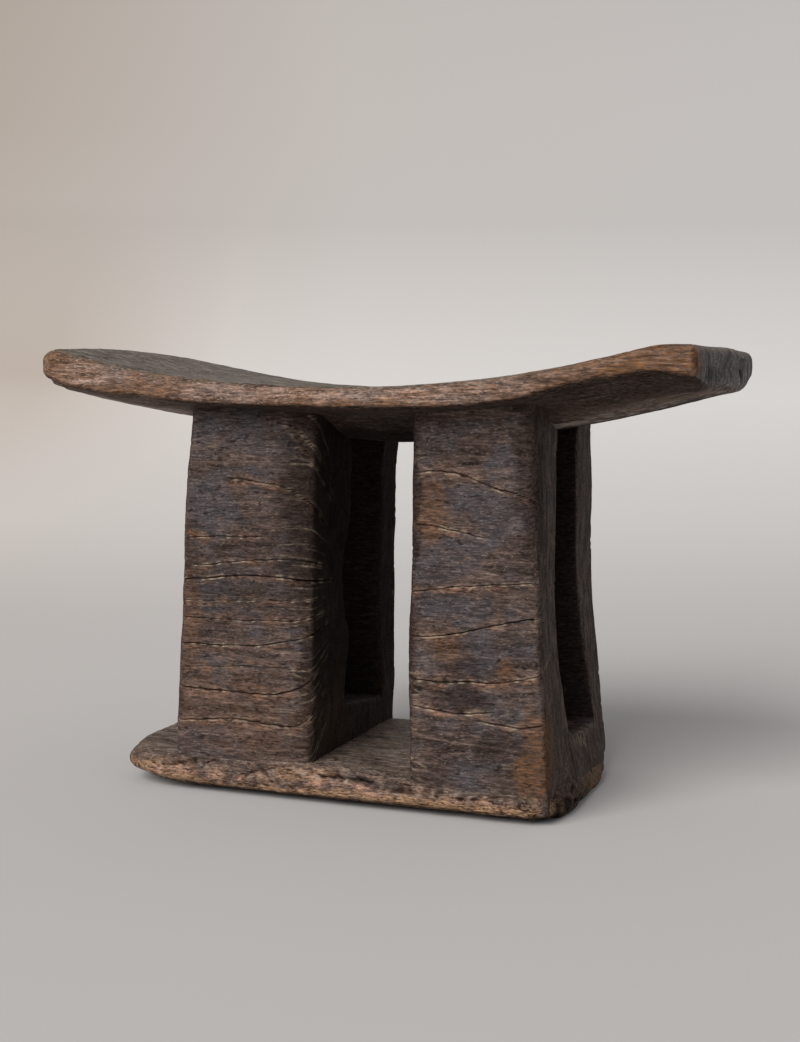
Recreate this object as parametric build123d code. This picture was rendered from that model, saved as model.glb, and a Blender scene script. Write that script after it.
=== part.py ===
from build123d import *
import os
from math import sqrt

# A low stool carved from one block of hardwood, divided into its carved members.
# Millimetres. X runs along the seat, Y from the front to the back, Z up.
# The origin is on the floor, under the middle of the seat.

# Seat board
seat_length = 465.0
seat_depth = 194.0
seat_height = 276.5            # lowest point of the dished top
seat_low_point = 5.0           # that point lies this far right of the middle
seat_rise = 29.6               # the left end stands this much above it, the right end a little less
seat_left_radius = 24.0        # corners of the board, seen from above
seat_front_right_radius = 26.0
seat_back_right_radius = 12.0
rim_thickness = 14.5           # upright edge along the front and the back
middle_thickness = 36.5        # from the top to the belly, over the lowest point
end_thickness = 28.5           # the same at the left end
bevel_knee_run = 32.0          # from the rim inwards to the knee of the underside
bevel_knee_drop = 13.5         # fall of the underside from the rim to that knee
bevel_run = 73.0               # from the rim inwards to the foot of the bevel

# Slab base
base_thickness = 27.5
base_depth = 166.0
base_left_reach = 180.0        # the tongue on the left sticks out past the column
base_right_reach = 138.5
base_left_radius = 40.0        # corners of the slab, seen from above
base_right_radius = 26.0
base_lip_radius = 9.0          # rounded lower edge
base_top_chamfer = 6.0         # worn upper edge

# Slotted columns. Each tapers from its foot on the base to its head under the seat.
column_depth_head = 144.0
column_depth_foot = 150.0
column_corner_radius = 10.0
root_depth = 5.0               # the columns are shaped up to this far below the seat's top
slot_width = 56.0              # clear width of the slot that runs through along X
slot_centre = 9.5              # the slot lies behind the middle, so the front wall is thicker
left_column = {"inner_head": -27.5, "inner_foot": -30.0, "width_head": 93.5, "width_foot": 103.0,
               "side": -1, "sill_height": 26.5}
right_column = {"inner_head": 41.0, "inner_foot": 39.5, "width_head": 79.5, "width_foot": 91.5,
                "side": 1, "sill_height": 14.0}

cut_margin = 20.0              # how far a cutting shape reaches past what it cuts

slot_front = slot_centre - slot_width / 2
slot_back = slot_centre + slot_width / 2
long_side = seat_length / 2 + seat_low_point     # from the lowest point to the left end


def arc_radius(half_span, rise):
    return (half_span ** 2 + rise ** 2) / (2 * rise)


def arc_height(x, middle, half_span, rise):
    # Height at x of the arc that is lowest at `middle` and climbs by `rise` at the ends of its span.
    radius = arc_radius(half_span, rise)
    return middle + radius - sqrt(radius ** 2 - x ** 2)


def arc_line(middle, half_span, rise, reach):
    end = arc_height(reach, middle, half_span, rise)
    low = seat_low_point
    return ThreePointArc((low - reach, end), (low, middle), (low + reach, end))


def side_profile():
    # The board seen from the front: the dished top over the flatter belly.
    reach = long_side + cut_margin
    belly_middle = seat_height - middle_thickness
    belly_rise = seat_rise + middle_thickness - end_thickness
    top = arc_line(seat_height, long_side, seat_rise, reach)
    belly = arc_line(belly_middle, long_side, belly_rise, reach)
    ends = [Line(top @ t, belly @ t) for t in (0, 1)]
    return make_face([top, belly, *ends])


def underside_bevel():
    # A ring that follows the curve of the top and planes the front half of the underside
    # from the rim down to the belly, in two flats.
    radius = arc_radius(long_side, seat_rise)
    axis_height = seat_height + radius
    rim = seat_depth / 2
    knee = radius + rim_thickness + bevel_knee_drop
    belly = radius + middle_thickness
    outside = belly + cut_margin
    section = Polyline(
        (-rim - cut_margin, radius + rim_thickness),
        (-rim, radius + rim_thickness),
        (-rim + bevel_knee_run, knee),
        (-rim + bevel_run, belly),
        (-rim + bevel_run, outside),
        (-rim - cut_margin, outside),
        close=True,
    )
    face = Plane.YZ * make_face(section)
    ring = revolve(face, Axis.Y, 360)
    return Pos(seat_low_point, 0, axis_height) * ring


def rounded_outline(left, right, half, radii):
    # A rectangle seen from above, with a radius for each corner: front left, front right, back right, back left.
    corners = [(left, -half), (right, -half), (right, half), (left, half)]
    return make_face(FilletPolyline(*corners, radius=radii, close=True))


def make_seat():
    blank = extrude(Plane.XZ * side_profile(), amount=seat_depth / 2 + cut_margin, both=True)
    radii = [seat_left_radius, seat_front_right_radius, seat_back_right_radius, seat_left_radius]
    outline = rounded_outline(-seat_length / 2, seat_length / 2, seat_depth / 2, radii)
    plan = extrude(outline, amount=seat_height + seat_rise + cut_margin)
    bevel = underside_bevel()
    return (blank & plan) - bevel - mirror(bevel, about=Plane.XZ)


def column_outline(inner, width, depth, side, height):
    outline = RectangleRounded(width, depth, column_corner_radius)
    return Pos(inner + side * width / 2, 0, height) * outline


def make_column(column, seat):
    # The whole block of one column, before its slot, fitted under the belly of the seat.
    head_height = seat_height - root_depth
    foot = column_outline(column["inner_foot"], column["width_foot"], column_depth_foot,
                          column["side"], base_thickness)
    head = column_outline(column["inner_head"], column["width_head"], column_depth_head,
                          column["side"], head_height)
    return loft([foot, head], ruled=True) - seat


def between(front, back, bottom, top):
    # A cutting block that spans the whole stool in X, and the given ranges in Y and Z.
    reach = seat_length + 2 * cut_margin
    block = Box(reach, back - front, top - bottom, align=(Align.CENTER, Align.MIN, Align.MIN))
    return Pos(0, front, bottom) * block


def split_column(column, seat):
    # The slot leaves a front wall, a back wall and the sill that joins their feet.
    block = make_column(column, seat)
    far = seat_depth
    top = seat_height + cut_margin
    sill_top = base_thickness + column["sill_height"]
    front = block & between(-far, slot_front, 0, top)
    back = block & between(slot_back, far, 0, top)
    sill = block & between(slot_front, slot_back, 0, sill_top)
    return front, back, sill


def make_base():
    radii = [base_left_radius, base_right_radius, base_right_radius, base_left_radius]
    outline = rounded_outline(-base_left_reach, base_right_reach, base_depth / 2, radii)
    slab = extrude(outline, amount=base_thickness)
    slab = fillet(slab.edges().group_by(Axis.Z)[0], base_lip_radius)
    return chamfer(slab.edges().group_by(Axis.Z)[-1], base_top_chamfer)


seat = make_seat()
front_left, back_left, left_sill = split_column(left_column, seat)
front_right, back_right, right_sill = split_column(right_column, seat)

members = {
    "seat": seat,
    "front_left_leg": front_left,
    "back_left_leg": back_left,
    "left_sill": left_sill,
    "front_right_leg": front_right,
    "back_right_leg": back_right,
    "right_sill": right_sill,
    "base": make_base(),
}

os.makedirs("parts", exist_ok=True)
for name, member in members.items():
    export_step(member, f"parts/{name}.step")
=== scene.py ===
import math
from concurrent.futures import ThreadPoolExecutor
import bpy
import numpy as np
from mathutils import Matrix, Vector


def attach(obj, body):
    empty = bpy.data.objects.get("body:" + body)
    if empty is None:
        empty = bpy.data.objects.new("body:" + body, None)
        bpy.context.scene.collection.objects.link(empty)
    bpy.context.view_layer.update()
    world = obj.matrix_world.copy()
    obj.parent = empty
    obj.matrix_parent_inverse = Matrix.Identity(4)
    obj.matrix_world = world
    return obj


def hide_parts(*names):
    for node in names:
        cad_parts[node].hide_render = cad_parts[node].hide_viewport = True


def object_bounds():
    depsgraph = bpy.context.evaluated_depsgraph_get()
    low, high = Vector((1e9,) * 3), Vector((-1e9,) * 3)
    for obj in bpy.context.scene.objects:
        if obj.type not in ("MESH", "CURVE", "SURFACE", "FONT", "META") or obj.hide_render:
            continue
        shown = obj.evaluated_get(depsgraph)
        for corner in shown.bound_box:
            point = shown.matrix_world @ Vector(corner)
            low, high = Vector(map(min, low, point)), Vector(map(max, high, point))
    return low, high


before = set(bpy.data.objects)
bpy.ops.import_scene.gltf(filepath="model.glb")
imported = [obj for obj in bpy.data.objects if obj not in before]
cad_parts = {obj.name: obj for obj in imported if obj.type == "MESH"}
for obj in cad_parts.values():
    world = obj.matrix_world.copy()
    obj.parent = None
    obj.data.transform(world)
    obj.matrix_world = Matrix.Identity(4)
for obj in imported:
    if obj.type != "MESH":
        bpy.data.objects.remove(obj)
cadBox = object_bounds()

# A low stool carved from one block of hardwood. Shapes are worked out in millimetres, in the packed
# frame: X along the seat, Y from the front to the back, Z up. buildPiece turns them into metres.

mm = 0.001
pithY, pithZ = 26.0, 138.0      # growth centre of the block: a line along X that every check points at
columnFace, baseFace = 73.0, 83.0       # how far the faces lie from the middle, to the front and the back
endless = 1e6                   # size of a cell along an axis in which nothing varies
thinnest = 0.42                 # half the width of the thinnest line that the meshes hold


def smooth(low, high, value):
    t = np.clip((value - low) / (high - low), 0.0, 1.0)
    return t * t * (3.0 - 2.0 * t)


def along(table, where, soft=0.0):
    # Reads a table of (position, value), rounded off over the distance soft
    spots, values = zip(*table)
    if soft == 0.0:
        return np.interp(where, spots, values)
    shifts = np.linspace(-soft, soft, 7)
    return sum(np.interp(where + shift, spots, values) for shift in shifts) / len(shifts)


def scramble(cells, seed):
    # Whole numbers to a repeatable 32-bit jumble
    x, y, z = cells[..., 0], cells[..., 1], cells[..., 2]
    jumble = x * 374761393 + y * 668265263 + z * 1911520717 + seed * 982451653
    mask = 0xffffffff
    jumble = jumble & mask
    jumble = ((jumble ^ (jumble >> 15)) * 2246822519) & mask
    jumble = ((jumble ^ (jumble >> 13)) * 3266489917) & mask
    return jumble ^ (jumble >> 16)


def noise(points, period, seed):
    # Smooth gradient noise, about -1 to 1, with its period in mm for all axes or for each
    spots = points / np.asarray(period, float)
    cells = np.floor(spots).astype(np.int64)
    part = spots - cells
    fade = part ** 3 * (part * (part * 6.0 - 15.0) + 10.0)
    total = np.zeros(len(points))
    for corner in range(8):
        step = np.array([corner & 1, corner >> 1 & 1, corner >> 2 & 1])
        jumble = scramble(cells + step, seed)
        slope = np.stack([jumble & 1023, jumble >> 10 & 1023, jumble >> 20 & 1023], -1) / 511.5 - 1.0
        weight = np.prod(np.where(step == 1, fade, 1.0 - fade), axis=1)
        total += weight * np.sum(slope * (part - step), axis=1)
    return total * 1.35                                     # brings the peaks near 1


def strokes(points, size, seed):
    # Scooped cells left by a tool: 0 at the middle of each cut, rising to about 1 on the ridge between two
    spots = points / np.asarray(size, float)
    cells = np.floor(spots).astype(np.int64)
    nearest, second = (np.full(len(points), 9.0) for _ in range(2))
    flat = [axis for axis in range(3) if size[axis] < endless]
    for first in (-1, 0, 1):
        for other in (-1, 0, 1):
            step = np.zeros(3, np.int64)
            step[flat[0]] = first
            step[flat[1]] = other
            jumble = scramble(cells + step, seed)
            offset = np.stack([jumble & 255, jumble >> 8 & 255, jumble >> 16 & 255], -1) / 255.0
            gap = ((cells + step + offset - spots) ** 2)[:, flat].sum(axis=1)
            second = np.where(gap < nearest, nearest, np.minimum(second, gap))
            nearest = np.minimum(nearest, gap)
    return np.clip(nearest / (second + 1e-6), 0.0, 1.0)


def roundedLoop(corners, cuts, arcs, counts):
    # Joins corners with straight runs and rounds each one off. Every corner is a pair of arrays with one
    # value for each station. A cut may be a pair: before the corner, and after it.
    corners = [np.stack(np.broadcast_arrays(*corner), -1).astype(float) for corner in corners]
    total = len(corners)
    leave, arrive = [], []
    for here in range(total):
        sides = cuts[here] if isinstance(cuts[here], tuple) else (cuts[here], cuts[here])
        for other, store, side in ((here - 1, arrive, sides[0]), ((here + 1) % total, leave, sides[1])):
            span = corners[other] - corners[here]
            length = np.linalg.norm(span, axis=-1, keepdims=True)
            cut = np.minimum(np.broadcast_to(side, length.shape[:1])[:, None], length * 0.46)
            store.append(corners[here] + span / length * cut)
    rows, kinds = [], []
    for here in range(total):
        for t in np.linspace(0.0, 1.0, arcs[here]):
            rows.append((1 - t) ** 2 * arrive[here] + 2 * t * (1 - t) * corners[here] + t * t * leave[here])
            kinds.append(here)
        after = (here + 1) % total
        for t in np.arange(1, counts[here] + 1) / (counts[here] + 1.0):
            rows.append(leave[here] * (1 - t) + arrive[after] * t)
            kinds.append(here if t < 0.5 else after)
    return np.stack(rows, 1), np.array(kinds), corners


def cornerNearness(loop, kinds, corners, reach):
    # 1 on a rounded corner, fading over the reach that each corner is given
    spots = np.stack([corners[kind] for kind in kinds], 1)
    reaches = np.array([reach[kind] for kind in kinds])
    gap = np.linalg.norm(loop - spots, axis=-1)
    return np.exp(-(gap / np.maximum(reaches, 0.01)) ** 2) * (reaches > 0.0)


def tube(stations, around, top):
    # Faces of a tube, and their places on the map: one rectangle, cut along its first row
    i, j = np.meshgrid(np.arange(stations - 1), np.arange(around), indexing="ij")
    after = (j + 1) % around
    quads = np.stack([i * around + j, i * around + after, (i + 1) * around + after, (i + 1) * around + j], -1)
    u = np.stack([j, j + 1, j + 1, j], -1) / around
    v = np.stack([i, i, i + 1, i + 1], -1) / (stations - 1.0)
    low, high = 0.002, 0.998
    places = np.stack([low + u * (high - low), low + v * (top - low)], -1)
    return quads.reshape(-1, 4), places.reshape(-1, 2)


def fillEnd(verts, quads, places, ring, rings, bulge, side):
    # Closes an end with rings that shrink towards its middle line, and one small face. Side is -1 or 1.
    loop = verts[ring]
    across, high = np.ptp(loop[:, 1]), np.ptp(loop[:, 2])
    inset = min(across, high) * 0.5
    middle = loop.copy()
    for axis in (1, 2):
        middle[:, axis] = np.clip(loop[:, axis], loop[:, axis].min() + inset, loop[:, axis].max() - inset)
    around = len(ring)
    frameAt = np.stack([np.ones(around), loop[:, 1], loop[:, 2]], -1)
    slope = np.linalg.lstsq(frameAt, loop[:, 0], rcond=None)[0]
    sides = np.array([ring] + [len(verts) + k * around + np.arange(around) for k in range(rings)])
    made = [verts]
    for k in range(1, rings + 1):
        share = 1.0 - k / (rings + 0.08)                    # the last ring all but closes
        row = middle + (loop - middle) * share
        plane = slope[0] + slope[1] * row[:, 1] + slope[2] * row[:, 2]
        row[:, 0] = plane + (loop[:, 0] - frameAt @ slope) * share + side * bulge * (1.0 - share ** 2)
        made.append(row)
    verts = np.concatenate(made)
    outer, inner = sides[:-1], sides[1:]
    after = np.roll(np.arange(around), -1)
    faces = np.stack([outer, outer[:, after], inner[:, after], inner], -1).reshape(-1, 4)
    lastRing = sides[-1]
    if side < 0:
        faces = faces[:, ::-1]
        lastRing = lastRing[::-1]
    left = 0.004 if side < 0 else 0.504                     # its own strip of the map, above the tube's

    def spread(index):
        y = (verts[index, 1] - loop[:, 1].min()) / across
        z = (verts[index, 2] - loop[:, 2].min()) / high
        return np.stack([left + 0.492 * y, 0.935 + 0.063 * z], -1)

    places = places + [spread(faces.reshape(-1))]
    return verts, np.concatenate([quads, faces]), places, lastRing, spread(lastRing)


def vertexNormals(verts, quads):
    corner = verts[quads]
    facing = np.cross(corner[:, 2] - corner[:, 0], corner[:, 3] - corner[:, 1])
    total = np.zeros_like(verts)
    for k in range(4):
        for axis in range(3):
            total[:, axis] += np.bincount(quads[:, k], facing[:, axis], len(verts))
    return total / np.maximum(np.linalg.norm(total, axis=1, keepdims=True), 1e-9)


def blockAngle(points):
    # Angle round the growth centre: 0 points to the front, a quarter turn points up
    return np.arctan2(points[:, 2] - pithZ, pithY - points[:, 1])


def checkLine(spots, depth, width, pale, step=0.0, back=30.0, face=-columnFace):
    # One drying check, given by where it runs on a front or back face: (x, z) pairs
    xs, zs = np.array(spots, float).T
    angles = np.arctan2(zs - pithZ, pithY - face)
    order = np.argsort(xs)
    return {"xs": xs[order], "angles": angles[order], "depth": depth, "width": width, "pale": pale,
            "step": step, "warm": 1.0, "back": back, "fade": 5.0, "face": face}


def fineChecks(count, seed, xRange, angleRange, length, depth, pale, face=-columnFace, back=14.0):
    # Short hairline checks, scattered over a range of X and of angle
    draw = np.random.default_rng(seed)
    found = []
    for _ in range(count):
        middle = draw.uniform(*xRange)
        half = 0.5 * draw.uniform(*length)
        angle = draw.uniform(*angleRange)
        tilt = draw.normal(0.0, 0.012)
        found.append({"xs": np.array([middle - half, middle + half]),
                      "angles": np.array([angle - tilt, angle + tilt]),
                      "depth": draw.uniform(*depth), "width": draw.uniform(0.24, 0.36),
                      "pale": pale * draw.uniform(0.1, 1.0), "step": 0.0, "warm": 0.0,
                      "back": back * draw.uniform(0.5, 1.6), "fade": half * 0.5, "face": face})
    return found


checkStyle = {"depth": 0.5, "width": 0.66, "pale": 1.15, "hair": 0.1}      # shallower than hair: a pale line


def openChecks(points, checks, seed):
    # How deep, how dark, how pale-lipped, how warm and how far stepped the checks leave each point
    total = len(points)
    depth, dark, lip, warm, step = (np.zeros(total) for _ in range(5))
    reach = np.hypot(points[:, 1] - pithY, points[:, 2] - pithZ)
    angle = blockAngle(points)
    wander = 0.9 * noise(points, (17, 30, 30), seed) + 0.5 * noise(points, (5.5, 9, 9), seed + 1)
    swell = 0.7 + 0.6 * noise(points, (11, 14, 14), seed + 2)
    broken = smooth(-0.15, 0.45, noise(points, (5.0, 8.0, 8.0), seed + 3))
    cloud = smooth(-0.35, 0.45, noise(points, (13.0, 5.0, 5.0), seed + 4))
    x = points[:, 0]
    for check in checks:
        ends = check["xs"][0], check["xs"][-1]
        shifts = (-6.0, -2.0, 2.0, 6.0)                     # rounds off the line's bends
        line = sum(np.interp(x + shift, check["xs"], check["angles"]) for shift in shifts) / len(shifts)
        turn = (angle - line + math.pi) % (2 * math.pi) - math.pi
        gap = reach * turn + wander * min(1.0, 0.4 + check["depth"])
        near = smooth(ends[0] - check["fade"], ends[0] + check["fade"] * 0.4, x)
        near = near * (1.0 - smooth(ends[1] - check["fade"] * 0.4, ends[1] + check["fade"], x))
        inward = (points[:, 1] - check["face"]) * (1.0 if check["face"] < 0 else -1.0)
        near = near * (1.0 - smooth(check["back"] * 0.45, check["back"], inward))
        strong = near * np.clip(swell + 0.3, 0.15, 1.2)
        width = checkStyle["width"] * check["width"]
        groove = np.exp(-(gap / width) ** 2)
        depth = np.maximum(depth, checkStyle["depth"] * check["depth"] * strong * groove)
        dark = np.maximum(dark, strong * groove * min(1.0, 0.3 + check["depth"] / 1.2))
        if check["depth"] < checkStyle["hair"]:
            hair = near * (0.3 + 0.7 * broken) * np.exp(-(gap / thinnest) ** 2)
            lip = np.maximum(lip, check["pale"] * hair)
            continue
        lipWidth = max(width, thinnest)
        lower = np.exp(-((gap + width + lipWidth) / lipWidth) ** 2)
        upper = np.exp(-((gap - width - lipWidth) / lipWidth) ** 2)
        pale = checkStyle["pale"] * check["pale"]
        lip = np.maximum(lip, pale * near * broken * np.maximum(lower, 0.7 * upper))
        if check["warm"]:
            glow = np.exp(-((gap + 1.8) / 2.0) ** 2) + 0.5 * np.exp(-((gap - 2.2) / 2.2) ** 2)
            warm = np.maximum(warm, check["warm"] * near * cloud * np.minimum(glow, 1.0))
        step += check["step"] * near * np.sign(gap) * np.exp(-np.abs(gap) / 6.0)
    return depth, dark, lip, warm, step


def bore(points, spots):
    # Chips, holes and knots: (middle, radius, depth), and a word at the end makes a knot with its rings.
    # Returns what they take away and how dark they are.
    taken, dark = np.zeros(len(points)), np.zeros(len(points))
    jitter = 1.0 + 0.22 * noise(points, 4.0, 77)
    for middle, radius, depth, *knot in spots:
        gap = np.linalg.norm((points - np.array(middle)) / np.array(radius), axis=1) * jitter
        bowl = np.clip(1.0 - gap ** 2, 0.0, 1.0)
        shape, shade = bowl, 0.75 * smooth(0.0, 0.7, bowl)
        if knot:
            groove = np.exp(-((gap - 0.92) / 0.13) ** 2)
            rings = bowl * (0.5 + 0.5 * np.cos(gap * 14.0))
            shape, shade = groove + 0.25 * rings, 0.9 * groove + 0.35 * rings
        taken += depth * shape
        dark = np.maximum(dark, shade)
    return taken, dark


# what a piece's look falls back on
plainLook = {"grain": (8.0, 2.3, 2.3), "tear": 0.8, "tearSize": (4.0, 2.1, 15.0), "plainEnds": False,
             "checks": [], "bores": []}


def carve(points, normals, edge, look):
    # Everything that tools, drying and wear did to a plain surface. Returns how far each point moves along
    # its normal, and the marks that the finish reads.
    seed = look["seed"]
    sideways, frontal, upright = (normals ** 2).T
    move = look["wave"] * noise(points, 72.0, 5) + 0.45 * look["wave"] * noise(points, 27.0, 6)

    # long shallow cuts: lying along X on the faces, upright on the ends of the block
    faceCuts = strokes(points, (34.0, endless, 9.5), seed + 10)
    endCuts = strokes(points, (endless, 9.0, 30.0), seed + 11)
    topCuts = strokes(points, (40.0, 10.0, endless), seed + 12)
    cuts = frontal * faceCuts + sideways * endCuts + upright * topCuts
    move += look["cuts"] * (smooth(0.0, 1.0, cuts) - 0.4)

    # the grain: wavy scales along X, finer threads over them, and upright tears on end grain
    sway = 2.4 * noise(points, (24, 40, 24), seed + 1) + 1.0 * noise(points, (8.5, 13, 9), seed + 14)
    bent = points + np.stack([np.zeros(len(points)), sway, sway], -1)
    scale = noise(bent, look["grain"], seed + 2)
    thread = noise(bent, (4.6, 1.35, 1.35), seed + 3)
    tear = look["tear"] * noise(points, look["tearSize"], seed + 4)
    crest = 0.6 - 2.2 * np.abs(noise(bent, (11.0, 3.4, 3.4), seed + 15))
    lengthways = 0.62 * scale + 0.42 * thread + 0.30 * crest
    relief = (1.0 - sideways) * lengthways + sideways * (tear + 0.25 * thread)
    move += look["ripple"] * relief

    # worn pits
    pits = smooth(0.30, 0.58, noise(points, (4.4, 2.0, 2.0), seed + 7))
    move -= look["pits"] * pits

    depth, dark, lip, warm, step = openChecks(points, look["checks"], seed + 20)
    if look["plainEnds"]:
        facing = 1.0 - smooth(0.2, 0.6, sideways)
        depth, dark, lip, warm = depth * facing, dark * facing, lip * facing, warm * facing
    move += step - depth + 0.18 * lip + 0.12 * warm
    taken, holes = bore(points, look["bores"])
    move -= taken
    if "rot" in look:                                       # eaten away into lumps and pits
        share = look["rot"](points)
        lumps = noise(points, 13.0, seed + 40) + 0.7 * noise(points, 5.5, seed + 41)
        move += share * (1.5 * lumps + 0.4)
        holes = np.maximum(holes, 0.9 * share * smooth(0.05, -0.6, lumps))

    # rubbed edges: nicked, and worn back
    nick = smooth(0.1, 0.6, noise(points, (7.0, 4.0, 4.0), seed + 8))
    move -= edge * nick * look["nicks"]

    rub = noise(points, 16.0, seed + 9)
    fleck = noise(points, (5.0, 2.6, 2.6), seed + 13)
    worn = np.clip(edge * (0.75 + 0.5 * rub) + 0.35 * look["wear"] * (rub + 0.6 * fleck), 0.0, 1.0)
    marks = {"worn": worn, "crack": np.clip(dark + 0.55 * pits + holes, 0, 1), "lip": np.clip(lip, 0, 1),
             "warm": np.clip(warm, 0, 1), "endGrain": sideways, "topSide": np.clip(normals[:, 2], 0, 1) ** 2,
             "relief": np.clip(0.5 + 0.55 * relief, 0, 1)}
    for name, spots in look["patches"].items():
        marks[name] = paintSpots(points, spots, seed + 30)
    if "smoked" in marks:                                   # painted deep shade, put into the crack mark
        marks["crack"] = np.maximum(marks["crack"], marks.pop("smoked"))
    if "scratched" in marks:                                # pale broken lines along X: scratches, and painted light on the seat's underside
        lines = smooth(-0.08, 0.28, noise(bent, (24.0, 1.8, 2.0), seed + 16)) * (1.0 - sideways)
        lines += smooth(0.05, 0.35, noise(points, (4.0, 1.5, 10.0), seed + 17)) * sideways
        marks["lip"] = np.maximum(marks["lip"], marks.pop("scratched") * lines)
    # the soot mark also takes the painted shade that the piece's shade function gives
    marks["soot"] = np.maximum(marks["soot"], look["shade"](points, normals))
    return move, marks


def paintSpots(points, spots, seed):
    # Soft-edged blotches. Each is (middle, reach, strength), and reach has its own size for each axis.
    ragged = points + np.stack([noise(points, 15.0, seed + k) * 7.0 + noise(points, 4.5, seed + 5 + k) * 2.2
                                for k in range(3)], -1)
    total = np.zeros(len(points))
    for middle, reach, strength in spots:
        gap = np.linalg.norm((ragged - np.array(middle)) / np.array(reach), axis=1)
        total = np.maximum(total, strength * (1.0 - smooth(0.55, 1.15, gap)))
    return total


def buildPiece(name, nodeName, slotName, grid, edge, look, material, ends=None):
    # Turns a grid of loops into a closed mesh, carves it, and hides the CAD part that it replaces. Ends gives
    # the number of rings that close an end and how far it bulges; without it an end is one flat face.
    look = {**plainLook, **look}
    stations, around, _ = grid.shape
    verts = grid.reshape(-1, 3)
    quads, places = tube(stations, around, 0.93 if ends else 0.97)
    places = [places]
    first = np.arange(around)
    last = (stations - 1) * around + first
    lastFaces, lastPlaces = [], []
    if ends:
        for ring, side in ((first, -1), (last, 1)):
            verts, quads, places, small, spot = fillEnd(verts, quads, places, ring, *ends, side)
            lastFaces.append(small)
            lastPlaces.append(spot)
    else:
        turn = np.linspace(0, 2 * math.pi, around, endpoint=False)
        for k, ring in enumerate((first[::-1], last)):
            disc = [0.25 + 0.5 * k + 0.2 * np.cos(turn), 0.985 + 0.012 * np.sin(turn)]
            lastFaces.append(ring)
            lastPlaces.append(np.stack(disc, -1))
    normals = vertexNormals(verts, quads)
    edgeAll = np.zeros(len(verts))
    edgeAll[:stations * around] = edge.reshape(-1)
    shares = np.array_split(np.arange(len(verts)), 8)       # carved in shares, side by side
    with ThreadPoolExecutor(4) as pool:
        done = list(pool.map(lambda share: carve(verts[share], normals[share], edgeAll[share], look), shares))
    move = np.concatenate([part[0] for part in done])
    marks = {mark: np.concatenate([part[1][mark] for part in done]) for mark in done[0][1]}
    verts = verts + normals * move[:, None]
    low, high = np.array(cadBox[0]) / mm, np.array(cadBox[1]) / mm
    verts = np.clip(verts, low + 0.01, high - 0.01)

    mesh = bpy.data.meshes.new(name)
    faces = quads.tolist() + [ring.tolist() for ring in lastFaces]
    mesh.from_pydata((verts * mm).tolist(), [], faces)
    mesh.polygons.foreach_set("use_smooth", np.ones(len(faces), bool))
    layer = mesh.uv_layers.new(name="OFBake")
    layer.data.foreach_set("uv", np.concatenate(places + lastPlaces).astype(np.float32).reshape(-1))
    for mark, values in marks.items():
        holder = mesh.attributes.new(mark, "FLOAT", "POINT")
        holder.data.foreach_set("value", values.astype(np.float32))
    mesh.materials.append(material)
    mesh.update()
    piece = bpy.data.objects.new(name, mesh)
    bpy.context.collection.objects.link(piece)
    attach(piece, "root")
    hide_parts(nodeName)
    print(f"{name}: {len(verts)} points, {len(faces)} faces")


def addNode(tree, kind, inputs=None, **settings):
    made = tree.nodes.new(kind)
    for key, value in settings.items():
        setattr(made, key, value)
    for key, value in (inputs or {}).items():
        if isinstance(value, bpy.types.NodeSocket):
            tree.links.new(value, made.inputs[key])
        else:
            made.inputs[key].default_value = value
    return made


def readMark(tree, name):
    return addNode(tree, "ShaderNodeAttribute", attribute_name=name).outputs["Fac"]


def sums(tree, operation, first, second, clamp=False):
    return addNode(tree, "ShaderNodeMath", {0: first, 1: second},
                   operation=operation, use_clamp=clamp).outputs[0]


def times(tree, first, second, clamp=False):
    return sums(tree, "MULTIPLY", first, second, clamp)


def grainNoise(tree, where, stretch, detail, roughness, distortion=0.0):
    # Noise stretched along each axis, in metres
    lie = addNode(tree, "ShaderNodeMapping", {"Vector": where, "Scale": stretch})
    made = addNode(tree, "ShaderNodeTexNoise", {"Vector": lie.outputs[0], "Scale": 1.0, "Detail": detail,
                                                "Roughness": roughness, "Distortion": distortion})
    return made.outputs["Fac"]


def ramp(tree, factor, stops):
    made = addNode(tree, "ShaderNodeValToRGB", {"Fac": factor})
    line = made.color_ramp
    while len(line.elements) < len(stops):
        line.elements.new(0.5)
    for element, (place, shade) in zip(line.elements, stops):
        element.position = place
        element.color = (*shade, 1.0) if isinstance(shade, tuple) else (shade, shade, shade, 1.0)
    return made.outputs["Color"]


def blend(tree, factor, first, second, kind="MIX"):
    made = addNode(tree, "ShaderNodeMix", data_type="RGBA", blend_type=kind)
    for place, value in ((0, factor), (6, first), (7, second)):
        if isinstance(value, bpy.types.NodeSocket):
            tree.links.new(value, made.inputs[place])
        else:
            made.inputs[place].default_value = (*value, 1.0) if isinstance(value, tuple) else value
    return made.outputs[2]


def startFinish(name):
    # A fresh material, its tree, and where each point lies on its piece
    material = bpy.data.materials.new(name)
    material.use_nodes = True
    tree = material.node_tree
    tree.nodes.clear()
    return material, tree, addNode(tree, "ShaderNodeTexCoord").outputs["Object"]


def endFinish(tree, inputs):
    shader = addNode(tree, "ShaderNodeBsdfPrincipled", inputs)
    addNode(tree, "ShaderNodeOutputMaterial", {"Surface": shader.outputs[0]})


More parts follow.
